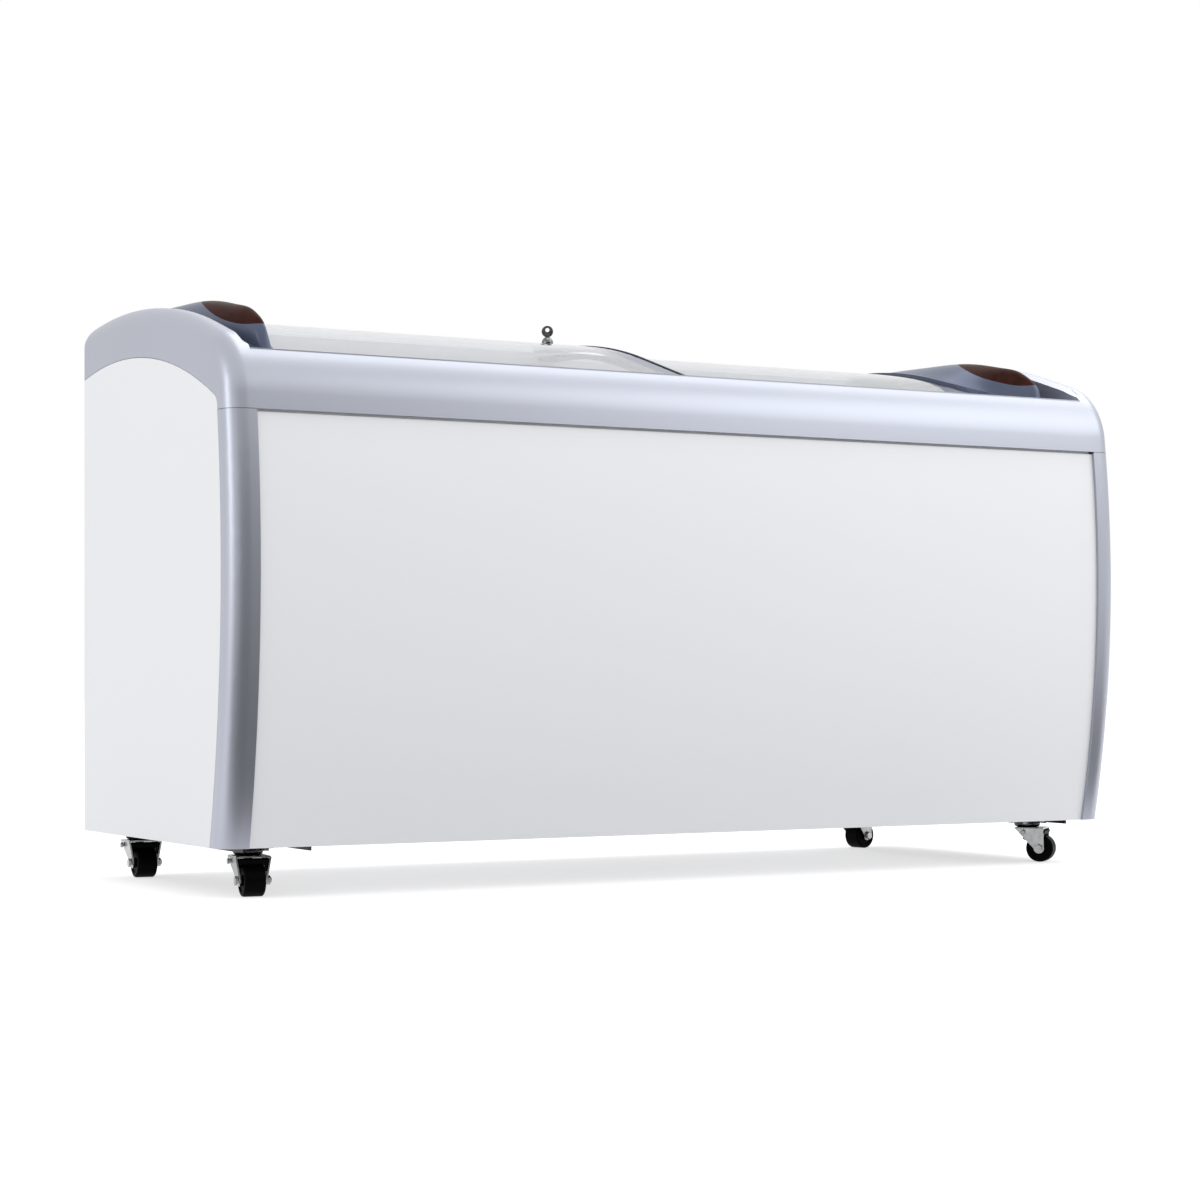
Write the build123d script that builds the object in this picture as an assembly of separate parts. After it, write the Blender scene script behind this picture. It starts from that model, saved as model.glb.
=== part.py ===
"""Ice cream display freezer: a chest cabinet on casters, under two curved glass lids that slide sideways.

The origin is on the floor under the middle of the cabinet. +X runs along the cabinet to the right, the front
faces -Y, and +Z is up. All sizes are in millimetres.
"""
import os
from math import acos, asin, cos, degrees, hypot, pi, radians, sin, sqrt, tan
from build123d import *

# Cabinet
length = 1800.0             # over the two side panels
depth = 674.0               # from the foremost bulge of the posts to the back panel
base_height = 82.0          # floor to the cabinet's lower edge
seam_height = 777.0         # floor to the joint between the posts and the end caps
bulge_height = 528.0        # floor to the foremost line of the front panel
panel_bulge = 46.0          # how far that line stands in front of the panel's lower edge
sheet = 1.5                 # sheet steel of the panels
panel_reveal = 3.5          # recessed strip between the panel's face and the rail
panel_recess = 5.0          # depth of that strip
front_tuck = 10.0           # how far the front panel runs up behind the rail
corner_radius = 34.0        # rounding of the posts and the end caps
post_width = 48.0           # width of a post seen from the front
post_return = 46.5          # width of a post seen from the side
post_proud = 6.0            # how far a post stands in front of the panel
post_wall = 3.0
seam_gap = 0.8              # shadow gap between mouldings
seat_gap = 0.3              # between pieces that are only set against each other

# End caps, rails
cap_width = 51.0
cap_wall = 4.0
cap_slope = 17.6            # degrees, of the straight stretch behind the rounded nose
cap_nose_radius = 125.0
cap_top_radius = 1124.0
cap_rise = 207.0            # from the seam to the highest line of the caps
cap_apex_setback = 162.0    # from the back to that line
cap_rear_radius = 45.0      # rounding of the rear top corner
cap_bevel = 8.0             # on the inner top edge, behind the rail
side_arch_radius = 955.0    # arched top edge of the side panels
side_arch_rise = 119.5      # from the seam to the top of that arch
side_arch_setback = 186.0   # from the back to the top of that arch
side_arch_corner = 25.0     # rounding where the arch meets the post's edge
rail_reach = 37.8           # from the rail's lower edge back to its lip
rail_lip_drop = 20.0
rear_rail_land = 19.0       # depth of the rear rail's top

# Lids
glass = 4.0
lid_slope = 17.3            # degrees, of the straight stretch at the front
lid_radius = 1088.0
lid_rise = 203.9            # from the seam to the highest line of the upper glass
lid_apex_setback = 76.4     # from the back to that line
lid_step = 16.0             # the lower lid lies this far under the upper one
lid_overlap = 30.0          # of the two closed lids at the middle
lid_end_gap = 4.0           # between a lid and the end cap beside it
lid_front_setback = 14.0    # from the rail's lip to the upper lid's front edge
lid_rear_setback = 22.0     # from the back to the upper lid's rear edge
lid_stagger_front = 16.0    # the lower lid is shorter by this at the front
lid_stagger_rear = 19.0     # and by this at the rear
slide_clearance = 0.4
track_seat_front = 24.0     # depth of the step that carries the lower lid
track_seat_rear = 20.0
track_riser = 5.0           # from the riser between the steps to the lower lid's edge
frame_width = 130.0         # of a lid's outer end frame, along the lid
frame_plate = 5.0           # its thickness on the glass
frame_inset = 2.0           # its ridge starts this deep in the plate
ridge_crest = 54.0          # crest line of the raised pull, from the cap
notch_start = 265.0         # the frame follows the pull in front of this, behind the front panel's lower edge
notch_lip = 0.5             # of the frame around the pull there
mid_frame_width = 40.0
mid_frame_depth = 6.0
seal_width = 5.0
seal_thick = 1.2
seal_drop = 11.5

# Lock and key
lock_radius = 11.0
lock_collar = 12.0          # straight part under the dome
lock_shank_radius = 6.0
lock_from_back = 74.0
lock_from_end = 16.5        # from the upper lid's free end
key_hole_radius = 3.6
key_blade = 6.0
key_thick = 2.2
key_head_radius = 11.0
key_eye_radius = 4.0
key_stem = 10.2             # barrel's top to the middle of the key's head
key_depth = 12.0
key_turn = 30.0             # degrees, how far the key stands turned from the lid's length

# Tank, insulation and machine compartment
end_wall = 65.0             # outside to the tank's inner face, at the two ends
front_wall = 33.0           # front panel's lower edge back to the tank's inner face
rear_wall = 62.0            # tank's inner face to the back
floor_wall = 70.0           # cabinet's lower edge to the tank's floor
front_rim = 60.0            # seam up to the tank's front rim
rear_rim = 157.0            # seam up to the tank's rear rim
end_rim_drop = 18.0         # the tank's end rims lie this far under the lower glass's top
coil_radius = 4.0
coil_gap = 9.0              # room for the evaporator tube between tank and foam
coil_pitch = 58.0
coil_passes = 6
coil_margin = 60.0
bay_length = 355.0          # machine compartment, along the cabinet
bay_height = 248.0
bay_wall = 60.0             # insulation over and beside it

# Baskets
bay_count = 4
basket_bays = (1, 2, 4)     # the third bay stays open, for stock in the well
basket_gap = 12.0
basket_depth = 215.0
basket_ledge = 12.0
basket_ledge_drop = 16.0    # ledge under the seam
basket_margin = 6.0         # wire grid to the tank's walls beyond the ledge
wire = 3.0
rim_wire = 6.0
wire_pitch = 50.0

# Casters and their channels
channel_setback = 54.0      # cabinet's end to a channel's outer side
channel_width = 120.0
wide_channel = 152.0        # width of the right one, which is plain at its inner edge
channel_height = 9.0
channel_sheet = 2.0
channel_front = 35.0        # channel's front end behind the front panel's lower edge
channel_rear = 4.0          # channel's rear end to the back
caster_setback = 88.0       # pivot to the cabinet's end, on the left
front_inset = 13.0          # the front right pivot stands further in by this
rear_inset = 79.0           # and the rear right one by this
caster_front = 94.0         # pivot behind the front panel's lower edge
caster_rear = 40.0          # pivot to the back
caster_trail = 27.0         # pivot to the wheel's axle
wheel_radius = 26.0
wheel_width = 36.0
wheel_edge = 4.0
hub_proud = 0.8
hub_radius = 9.0
axle_radius = 4.0
running_fit = 0.05
plate_size = 62.0
plate_thick = 3.0
bolt_spacing = 44.0
bolt_radius = 3.0
bolt_hole_gap = 0.3
race_radius = 25.0
race_height = 11.0
kingpin_radius = 5.0
fork_length = 55.0          # of its top, along the rolling direction
fork_width = 60.0           # of its top, over the legs
fork_foot = 46.0            # over the legs at the axle
fork_sheet = 2.5
fork_eye = 10.0             # rounding of a leg about the axle
guard_radius = 2.5          # cross pin over the wheel
guard_back = 29.0           # from the axle
guard_up = 30.0
headings = {"front_left": 261.0, "front_right": 309.0, "rear_left": 265.5, "rear_right": 13.0}

# Machine compartment pieces
compressor_radius = 72.0
compressor_height = 165.0
compressor_round = 34.0
compressor_x = 235.0        # its axis, from the right end
compressor_y = 130.0        # its axis, behind the middle
foot_height = 18.0
foot_radius = 9.0
foot_plate = 3.0
foot_spacing_x = 150.0
foot_spacing_y = 110.0
fan_axis_y = -60.0
fan_axis_z = 205.0
fan_radius = 78.0
fan_hub = 18.0
fan_blades = 5
fan_blade_pitch = 28.0
fan_clearance = 7.0
shaft_radius = 3.0
motor_radius = 28.0
motor_length = 40.0
shroud_width = 260.0
shroud_height = 215.0
shroud_sheet = 3.0
shroud_inset = 58.0         # shroud to the right end
condenser_radius = 4.0
condenser_pitch = 24.0
condenser_passes = 8
grille_width = 240.0
grille_height = 180.0
grille_slots = 12
grille_thick = 2.5
control_y = 195.0           # middle of the control plate
control_z = 225.0
control_width = 110.0
control_height = 90.0
control_recess = 10.0
knob_radius = 15.0
knob_height = 7.0
spindle_radius = 4.0
rocker_width = 16.0
rocker_height = 24.0
rocker_gap = 2.0
lamp_radius = 3.5
line_radius = 3.5
line_rise = 40.0            # of the lines over the compressor
gland_radius = 12.0
gland_bore = 5.0
drain_radius = 9.0
drain_wall = 2.0
drain_x = -700.0

os.makedirs("parts", exist_ok=True)

half = length / 2
back = depth / 2
front = -back + post_proud + panel_bulge      # front panel's lower edge
base_top = base_height + sheet
cap_inner = half - cap_width


def save(name, *solids):
    """Write one node, made of one solid or of several that don't touch."""
    shape = solids[0] if len(solids) == 1 else Compound(children=list(solids))
    export_step(shape, f"parts/{name}.step")


def block(x0, x1, y0, y1, z0, z1):
    """A box between two corners."""
    middle = Pos((x0 + x1) / 2, (y0 + y1) / 2, (z0 + z1) / 2)
    return middle * Box(x1 - x0, y1 - y0, z1 - z0)


def rod(start, end, radius):
    """A round bar between two points."""
    start, end = Vector(start), Vector(end)
    plane = Plane(origin=start, z_dir=end - start)
    return plane * Cylinder(radius, (end - start).length, align=(Align.CENTER, Align.CENTER, Align.MIN))


def hex_prism(start, end, across_flats):
    """A hexagonal bar between two points."""
    start, end = Vector(start), Vector(end)
    outline = Plane(origin=start, z_dir=end - start) * RegularPolygon(across_flats / sqrt(3), 6)
    return extrude(outline, (end - start).length)


def tube(points, bend, radius):
    """A round tube along straight runs joined by arcs."""
    path = FilletPolyline(*points, radius=bend)
    section = Plane(origin=path @ 0, z_dir=path % 0) * Circle(radius)
    return sweep(section, path=path)


def side_prism(edges, x0, x1):
    """Extrude an outline drawn in (Y, Z) along X."""
    face = Plane.YZ.offset(x0) * make_face(edges)
    return extrude(face, x1 - x0, dir=(1, 0, 0))


def side_polygon(points, x0, x1):
    """Extrude a polygon drawn in (Y, Z) along X."""
    return side_prism(Polyline(*points, close=True), x0, x1)


def bend_arc(centre, start, end):
    """The shorter arc about a centre between two points of the (Y, Z) plane."""
    mid = Vector(start) + Vector(end) - Vector(centre) * 2
    mid = Vector(centre) + mid.normalized() * (Vector(start) - Vector(centre)).length
    return ThreePointArc(start, mid, end)


def nearest_edges(part, points):
    """The edges of a part whose middles lie nearest to the given points."""
    return [min(part.edges(), key=lambda e: (e @ 0.5 - Vector(p)).length) for p in points]


# Curves that several pieces share, all in the (Y, Z) plane
panel_radius = ((bulge_height - base_height) ** 2 + panel_bulge ** 2) / (2 * panel_bulge)
post_radius = panel_radius + post_proud
bulge_centre = (-back + post_radius, bulge_height)


def front_y(radius, z):
    """Y of the bulged front at a height, on the circle of that radius."""
    return bulge_centre[0] - sqrt(radius ** 2 - (z - bulge_height) ** 2)


def front_band(outer, inner, z0, z1):
    """Outline between two circles of the bulged front."""
    a, b = (front_y(outer, z0), z0), (front_y(outer, z1), z1)
    c, d = (front_y(inner, z1), z1), (front_y(inner, z0), z0)
    return [bend_arc(bulge_centre, a, b), Line(b, c), bend_arc(bulge_centre, c, d), Line(d, a)]


def slope_normal(angle):
    """Outward normal of a surface that rises to the back at an angle in degrees."""
    return Vector(-sin(radians(angle)), cos(radians(angle)))


seam_lean = degrees(asin((seam_height - bulge_height) / post_radius))
nose_normal = slope_normal(90 - seam_lean)
roof_normal = slope_normal(cap_slope)
seam_point = Vector(front_y(post_radius, seam_height), seam_height)
cap_centre = Vector(back - cap_apex_setback, seam_height + cap_rise - cap_top_radius)


def line_meeting(n1, d1, n2, d2):
    """The point where the lines n1.p = d1 and n2.p = d2 cross."""
    det = n1.X * n2.Y - n1.Y * n2.X
    return Vector((d1 * n2.Y - d2 * n1.Y) / det, (n1.X * d2 - n2.X * d1) / det)


nose_centre = line_meeting(
    nose_normal, nose_normal.dot(seam_point) - cap_nose_radius,
    roof_normal, roof_normal.dot(cap_centre) + cap_top_radius - cap_nose_radius)


rear_y = back - cap_rear_radius
rear_centre = Vector(rear_y, cap_centre.Y + sqrt(
    (cap_top_radius - cap_rear_radius) ** 2 - (rear_y - cap_centre.X) ** 2))
round_end = cap_centre + (rear_centre - cap_centre).normalized() * cap_top_radius


def roof_edges(inset, start, y_end):
    """The caps' curve from a start on the nose back to a depth, set in by a distance."""
    nose_high = nose_centre + roof_normal * (cap_nose_radius - inset)
    radius = cap_top_radius - inset
    roof_start = cap_centre + roof_normal * radius
    roof_end = Vector(y_end, cap_centre.Y + sqrt(radius ** 2 - (y_end - cap_centre.X) ** 2))
    return roof_end, [bend_arc(nose_centre, start, nose_high), Line(nose_high, roof_start),
                      bend_arc(cap_centre, roof_start, roof_end)]


def nose_foot(inset, z_low):
    """Start of the nose and the foot of the straight stretch under it."""
    nose_low = nose_centre + nose_normal * (cap_nose_radius - inset)
    return nose_low, Vector(nose_low.X - (nose_low.Y - z_low) * tan(radians(seam_lean)), z_low)


arch_centre = Vector(back - side_arch_setback, seam_height + side_arch_rise - side_arch_radius)
side_front = front_y(post_radius - post_return, seam_height)
arch_corner_y = side_front + side_arch_corner
arch_corner = Vector(
    arch_corner_y,
    arch_centre.Y + sqrt((side_arch_radius - side_arch_corner) ** 2 - (arch_corner_y - arch_centre.X) ** 2))


def arch_edges(gap, y_back, z_low):
    """Top edge of a side panel, set out by a gap, from the back to the front and down to a height."""
    radius = side_arch_radius + gap
    rear = Vector(y_back, arch_centre.Y + sqrt(radius ** 2 - (y_back - arch_centre.X) ** 2))
    meet = arch_centre + (arch_corner - arch_centre).normalized() * radius
    side = Vector(side_front - gap, arch_corner.Y)
    low = Vector(side_front - gap, z_low)
    return rear, low, [bend_arc(arch_centre, rear, meet), bend_arc(arch_corner, meet, side), Line(side, low)]


lid_centre = Vector(back - lid_apex_setback, seam_height + lid_rise - lid_radius)
lid_normal = slope_normal(lid_slope)
lip_y = seam_point.X + rail_reach


def lid_z(y, offset):
    """Height of the lids' curve at a depth, moved out from the upper glass's top by an offset."""
    start = lid_centre + lid_normal * (lid_radius + offset)
    if y < start.X:
        return start.Y + (y - start.X) * tan(radians(lid_slope))
    return lid_centre.Y + sqrt((lid_radius + offset) ** 2 - (y - lid_centre.X) ** 2)


def lid_curve(offset, y0, y1):
    """The lids' curve between two depths."""
    start = lid_centre + lid_normal * (lid_radius + offset)
    rear = Vector(y1, lid_z(y1, offset))
    return [Line((y0, lid_z(y0, offset)), start), bend_arc(lid_centre, start, rear)]


def lid_band(top, bottom, y0, y1, x0, x1):
    """A curved plate between two offsets of the lids' curve."""
    front_end = Line((y0, lid_z(y0, top)), (y0, lid_z(y0, bottom)))
    rear_end = Line((y1, lid_z(y1, top)), (y1, lid_z(y1, bottom)))
    return side_prism([*lid_curve(top, y0, y1), rear_end, *lid_curve(bottom, y0, y1), front_end], x0, x1)


upper_front = lip_y + lid_front_setback
upper_rear = back - lid_rear_setback
lower_front = upper_front + lid_stagger_front
lower_rear = upper_rear - lid_stagger_rear


def mirrored(part):
    """The same piece for the other end of the cabinet."""
    return mirror(part, about=Plane.YZ)


# Outer panels
panel_inner = panel_radius - sheet
reveal_low = seam_height - panel_reveal
tuck_outer = panel_radius - panel_recess
tuck_inner = tuck_outer - sheet
tuck_x = cap_inner - seat_gap
front_panel = side_prism(front_band(panel_radius, panel_inner, base_height, reveal_low),
                         -half + corner_radius, half - corner_radius)
front_panel += side_prism(front_band(panel_radius, tuck_inner, reveal_low - sheet, reveal_low),
                          -tuck_x, tuck_x)
front_panel += side_prism(front_band(tuck_outer, tuck_inner, reveal_low - sheet, seam_height + front_tuck),
                          -tuck_x, tuck_x)
save("front_panel", front_panel)


def side_panel():
    """Left side panel: arched at the top, following the post at the front."""
    rear, low, arch = arch_edges(0, back, seam_height)
    post_edge = post_radius - post_return - seam_gap
    foot = Vector(front_y(post_edge, base_height), base_height)
    shoulder = Vector(front_y(post_edge, seam_height), seam_height)
    outline = [*arch, Line(low, shoulder), bend_arc(bulge_centre, shoulder, foot),
               Line(foot, (back, base_height)), Line((back, base_height), rear)]
    return side_prism(outline, -half, -half + sheet)


save("left_side_panel", side_panel())
panel_face = half - sheet
grille_y0, grille_y1 = fan_axis_y - grille_width / 2, fan_axis_y + grille_width / 2
grille_z0, grille_z1 = fan_axis_z - grille_height / 2, fan_axis_z + grille_height / 2
control_y0, control_y1 = control_y - control_width / 2, control_y + control_width / 2
control_z0, control_z1 = control_z - control_height / 2, control_z + control_height / 2
right_panel = mirrored(side_panel())
right_panel -= block(panel_face - 1, half + 1, grille_y0, grille_y1, grille_z0, grille_z1)
right_panel -= block(panel_face - 1, half + 1, control_y0, control_y1, control_z0, control_z1)
save("right_side_panel", right_panel)

rear_rail_top = lid_z(upper_rear, -2 * sheet)
rear_panel_top = arch_edges(0, back, seam_height)[0].Y
save("back_panel", block(-panel_face, panel_face, back - sheet, back, base_height, rear_panel_top))

# Base pan, with holes for the drain and the cable gland
gland_x, gland_y = half - bay_length + 60, back - 45
pan_front = front_y(panel_inner, base_height) + seat_gap
pan_x = half - post_wall - seat_gap
base_pan = block(-pan_x, pan_x, pan_front, back - sheet, base_height, base_top)
base_pan = fillet(nearest_edges(base_pan, [(x, pan_front, base_height + sheet / 2) for x in (-pan_x, pan_x)]),
                  corner_radius)
drain_y = (front + front_wall + back - rear_wall) / 2
base_pan -= Pos(drain_x, drain_y, base_height) * Cylinder(drain_radius + seat_gap, 10 * sheet)
base_pan -= Pos(gland_x, gland_y, base_height) * Cylinder(gland_radius - drain_wall + seat_gap, 10 * sheet)

# Corner posts: hollow mouldings that carry the rounding of the two front corners
post_edge_x = -half + post_width
post = side_prism(front_band(post_radius, post_radius - post_return, base_height, seam_height),
                  -half, post_edge_x)
post = fillet(nearest_edges(post, [(-half, -back, bulge_height)]), corner_radius)
core_reach = post_radius - post_return - post_wall
core = side_prism(front_band(panel_radius, core_reach, base_height - post_wall, seam_height + post_wall),
                  -half + post_wall, post_edge_x + post_wall)
core_middle = (base_height + seam_height) / 2
core = fillet(nearest_edges(core, [(-half + post_wall, front_y(panel_radius, core_middle), core_middle)]),
              corner_radius - post_proud)
post -= core
save("left_corner_post", post)
save("right_corner_post", mirrored(post))


# End caps: hollow arches over the side panels
def cap_solid(inset, gap, x0, x1, z_low, y_end, rounding):
    """A cap's body, or its hollow when it is set in, rounded along its outer edge."""
    nose_low, foot = nose_foot(inset, z_low)
    roof_end, roof = roof_edges(inset, nose_low, y_end)
    rear, low, arch = arch_edges(gap, y_end, z_low)
    outer = [Line(foot, nose_low), *roof]
    body = side_prism([*outer, Line(roof_end, rear), *arch, Line(low, foot)], x0, x1)
    middles = [(x0, (e @ 0.5).X, (e @ 0.5).Y) for e in outer]
    return fillet(nearest_edges(body, middles), rounding)


def rear_rounding():
    """What the rounding takes off the rear top corner of a cap."""
    start = Vector(back, rear_centre.Y)
    above = round_end.Y + cap_rear_radius
    beyond = back + cap_rear_radius
    ends = [Line(round_end, (round_end.X, above)), Line((round_end.X, above), (beyond, above)),
            Line((beyond, above), (beyond, start.Y)), Line((beyond, start.Y), start)]
    return side_prism([bend_arc(rear_centre, start, round_end), *ends], -half - 1, half)


def bevel_face(x, inset):
    """One end of the wedge that bevels a cap's inner top edge; it runs out towards the rail's lip."""
    ends = []
    curves = []
    for offset, y in ((-1.0, lip_y + cap_wall), (inset, lip_y + cap_wall + 4 * cap_bevel)):
        radius = cap_nose_radius - offset
        start = Vector(y, nose_centre.Y + sqrt(radius ** 2 - (y - nose_centre.X) ** 2))
        roof_end, roof = roof_edges(offset, start, round_end.X)
        ends.append((start, roof_end))
        curves += roof
    sides = [Line(ends[0][0], ends[1][0]), Line(ends[0][1], ends[1][1])]
    return Plane.YZ.offset(x) * make_face([*curves, *sides])


cap_low = seam_height + seam_gap
cap = cap_solid(0, seam_gap, -half, -cap_inner, cap_low, back, corner_radius)
cap -= rear_rounding()
cap -= cap_solid(cap_wall, -side_arch_corner / 2, -half + cap_wall, -cap_inner - cap_bevel,
                 cap_low - cap_wall, rear_y, corner_radius - cap_wall)
cap -= loft([bevel_face(-cap_inner + 1, cap_bevel + 1), bevel_face(-cap_inner - cap_bevel, 0)], ruled=True)
save("left_end_cap", cap)
save("right_end_cap", mirrored(cap))


# Front rail: the rounded moulding between the caps, folded down at its lip
def rail_edge(inset):
    """The rail's curve from its lower edge to its lip, set in by a distance."""
    nose_low, foot = nose_foot(inset, cap_low)
    lip_angle = acos((nose_centre.X - lip_y) / cap_nose_radius)
    lip = nose_centre + Vector(-cos(lip_angle), sin(lip_angle)) * (cap_nose_radius - inset)
    return [Line(foot, nose_low), bend_arc(nose_centre, nose_low, lip)], foot, lip


rail_outer, rail_foot, rail_lip = rail_edge(0)
rail_back, rail_back_foot, rail_back_lip = rail_edge(cap_wall)
rail_ends = [Line(rail_lip, rail_back_lip), Line(rail_back_foot, rail_foot)]
front_rail = side_prism([*rail_outer, *rail_back, *rail_ends], -cap_inner, cap_inner)
front_rail += block(-cap_inner, cap_inner, lip_y - cap_wall / 2, lip_y + cap_wall / 2,
                    rail_lip.Y - rail_lip_drop, rail_lip.Y)
save("front_rail", front_rail)

# Rear rail: an angle moulding over the top of the back panel
rear_rail = block(-cap_inner, cap_inner, back - cap_wall, back, rear_panel_top + seam_gap, rear_rail_top)
rear_rail += block(-cap_inner, cap_inner, back - rear_rail_land, back,
                   rear_rail_top - cap_wall, rear_rail_top)
rear_rail += block(-cap_inner, cap_inner, back - cap_wall, back - sheet - seat_gap,
                   rear_panel_top - front_tuck, rear_panel_top + cap_wall)
save("rear_rail", rear_rail)

# Lid tracks: stepped extrusions, the upper lid on the outer step and the lower lid on the inner one
front_rim_z = seam_height + front_rim
rear_rim_z = seam_height + rear_rim
upper_step = lid_z(upper_front, -glass) - slide_clearance
lower_step = lid_z(lower_front, -glass) - lid_step - slide_clearance
front_riser = lower_front - track_riser
track_back = lower_front + track_seat_front
track_face = lip_y + cap_wall / 2 + seat_gap
save("front_lid_track", side_polygon(
    [(track_face, front_rim_z), (track_face, upper_step), (front_riser, upper_step),
     (front_riser, lower_step), (track_back, lower_step), (track_back, front_rim_z)], -cap_inner, cap_inner))
upper_land = lid_z(upper_rear, -glass) - slide_clearance
lower_land = lid_z(lower_rear, -glass) - lid_step - slide_clearance
rear_riser = lower_rear + track_riser
rear_track_front = lower_rear - track_seat_rear
rear_track_face = back - cap_wall - seat_gap
save("rear_lid_track", side_polygon(
    [(rear_track_face, rear_rim_z), (rear_track_face, rear_rail_top - cap_wall - seat_gap),
     (upper_rear + seat_gap, rear_rail_top - cap_wall - seat_gap), (upper_rear + seat_gap, upper_land),
     (rear_riser, upper_land), (rear_riser, lower_land), (rear_track_front, lower_land),
     (rear_track_front, rear_rim_z)], -cap_inner, cap_inner))

# Inner tank: sheets folded round the storage space, stepped over the machine compartment
tank_x = half - end_wall
tank_front = front + front_wall
tank_rear = back - rear_wall
tank_floor = base_height + floor_wall
bay_x = half - bay_length
bay_top = base_top + bay_height
step_x = bay_x - bay_wall
step_z = bay_top + bay_wall
drain_hole = Pos(drain_x, drain_y, tank_floor) * Cylinder(drain_radius + seat_gap, 10 * sheet)


def tank_wall(y0, y1, z_top):
    """A long wall of the tank, notched over the step."""
    wall = block(-tank_x, tank_x, y0, y1, tank_floor, z_top)
    return wall - block(step_x, tank_x + 1, y0 - 1, y1 + 1, tank_floor - 1, step_z)


def end_sheet(x0, x1, z_low):
    """An end wall of the tank, arched under the lids and cut away under the front track."""
    drop = -lid_step - end_rim_drop
    y0, y1 = tank_front, tank_rear
    ends = [Line((y0, lid_z(y0, drop)), (y0, z_low)), Line((y0, z_low), (y1, z_low)),
            Line((y1, z_low), (y1, lid_z(y1, drop)))]
    wall = side_prism([*lid_curve(drop, y0, y1), *ends], x0, x1)
    return wall - block(x0 - 1, x1 + 1, y0 - 1, track_back + seat_gap, front_rim_z, rear_rim_z)


save("inner_tank",
     tank_wall(tank_front - sheet, tank_front, front_rim_z),
     tank_wall(tank_rear, tank_rear + sheet, rear_rim_z),
     end_sheet(-tank_x - sheet, -tank_x, tank_floor),
     end_sheet(tank_x, tank_x + sheet, step_z),
     block(-tank_x, step_x, tank_front, tank_rear, tank_floor - sheet, tank_floor) - drain_hole,
     block(step_x, step_x + sheet, tank_front, tank_rear, tank_floor, step_z - sheet),
     block(step_x, tank_x, tank_front, tank_rear, step_z - sheet, step_z))

# Evaporator: tube wound to and fro on the outside of the tank's long walls
coil_low = step_z + coil_margin


def serpentine(y):
    """One wall's tube."""
    reach = tank_x - coil_margin
    points = []
    for i in range(coil_passes):
        z = coil_low + i * coil_pitch
        ends = (-reach, reach) if i % 2 == 0 else (reach, -reach)
        points += [(x, y, z) for x in ends]
    return tube(points, coil_pitch * 0.45, coil_radius)


save("evaporator_coil",
     serpentine(tank_front - sheet - coil_radius - seat_gap),
     serpentine(tank_rear + sheet + coil_radius + seat_gap))

# Insulation: foamed in place between the panels and the tank, clear of the machine compartment
foam_low = base_top + seat_gap
foam_front_face = tank_front - sheet - coil_gap
foam_rear_face = tank_rear + sheet + coil_gap
foam_back = back - cap_wall - seat_gap
foam_x = tank_x + sheet + seat_gap
foam_front_top = reveal_low - sheet - seat_gap


def foam_front_outline():
    """Between the bulged panel and the tank's front wall."""
    skin = panel_inner - seat_gap
    foot, top = (front_y(skin, foam_low), foam_low), (front_y(skin, foam_front_top), foam_front_top)
    inner_top, inner_low = (foam_front_face, foam_front_top), (foam_front_face, foam_low)
    return [bend_arc(bulge_centre, foot, top), Line(top, inner_top), Line(inner_top, inner_low),
            Line(inner_low, foot)]


def foam_end_outline():
    """Behind a side panel, under its cap."""
    front_edge = front_y(post_radius - post_return, base_height) + sheet
    rear, low, arch = arch_edges(-seam_gap, foam_back, front_rim_z)
    corner = Vector(front_edge, arch_centre.Y + sqrt(
        (side_arch_radius - seam_gap) ** 2 - (front_edge - arch_centre.X) ** 2))
    return [bend_arc(arch_centre, rear, corner), Line(corner, (front_edge, foam_low)),
            Line((front_edge, foam_low), (foam_back, foam_low)), Line((foam_back, foam_low), rear)]


skin_x = panel_face - seat_gap
lip_x = cap_inner - seat_gap
foam = side_prism(foam_front_outline(), -foam_x, foam_x)
foam += block(-lip_x, lip_x, front_y(panel_inner, seam_height) + corner_radius / 2,
              tank_front - sheet - seat_gap, foam_front_top, front_rim_z)
foam += block(-foam_x, foam_x, foam_rear_face, foam_back, foam_low, rear_rim_z - coil_gap)
foam += block(-lip_x, lip_x, tank_rear + sheet + seat_gap, foam_back, rear_rim_z - coil_gap, rear_rim_z)
foam += side_prism(foam_end_outline(), -skin_x, -foam_x)
foam += side_prism(foam_end_outline(), foam_x, skin_x)
foam += end_sheet(-lip_x, -foam_x, tank_floor)
foam += end_sheet(foam_x, lip_x, tank_floor)
foam += block(-foam_x, foam_x, foam_front_face, foam_rear_face, foam_low, tank_floor - sheet - seat_gap)
foam += block(step_x + sheet + seat_gap, foam_x, foam_front_face, foam_rear_face, foam_low,
              step_z - sheet - seat_gap)
foam -= block(bay_x, half, -back, back, 0, bay_top)
foam -= Pos(drain_x, drain_y, 0) * Cylinder(drain_radius + seat_gap, 4 * floor_wall + 2 * base_height)
save("insulation_foam", foam)

# Machine compartment liner: one folded sheet against the foam
liner_y0, liner_y1 = foam_front_face, foam_back
liner = block(bay_x, bay_x + sheet, liner_y0, liner_y1, base_top, bay_top)
liner += block(bay_x, skin_x, liner_y0, liner_y1, bay_top - sheet, bay_top)
save("compartment_liner", liner)

# Drain: a tube from the tank's floor through the base, closed by a push-on cap
tube_low = base_height - channel_height / 2
drain = Pos(drain_x, drain_y, 0) * (rod((0, 0, tube_low), (0, 0, tank_floor), drain_radius)
                                    - rod((0, 0, 0), (0, 0, 2 * tank_floor), drain_radius - drain_wall))
save("drain_tube", drain)
cap_top_z = tube_low + channel_height / 4
drain_cap = rod((0, 0, tube_low - drain_wall), (0, 0, cap_top_z), drain_radius + drain_wall + seat_gap)
drain_cap -= rod((0, 0, tube_low), (0, 0, cap_top_z + 1), drain_radius + running_fit)
save("drain_cap", Pos(drain_x, drain_y, 0) * drain_cap)

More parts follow.
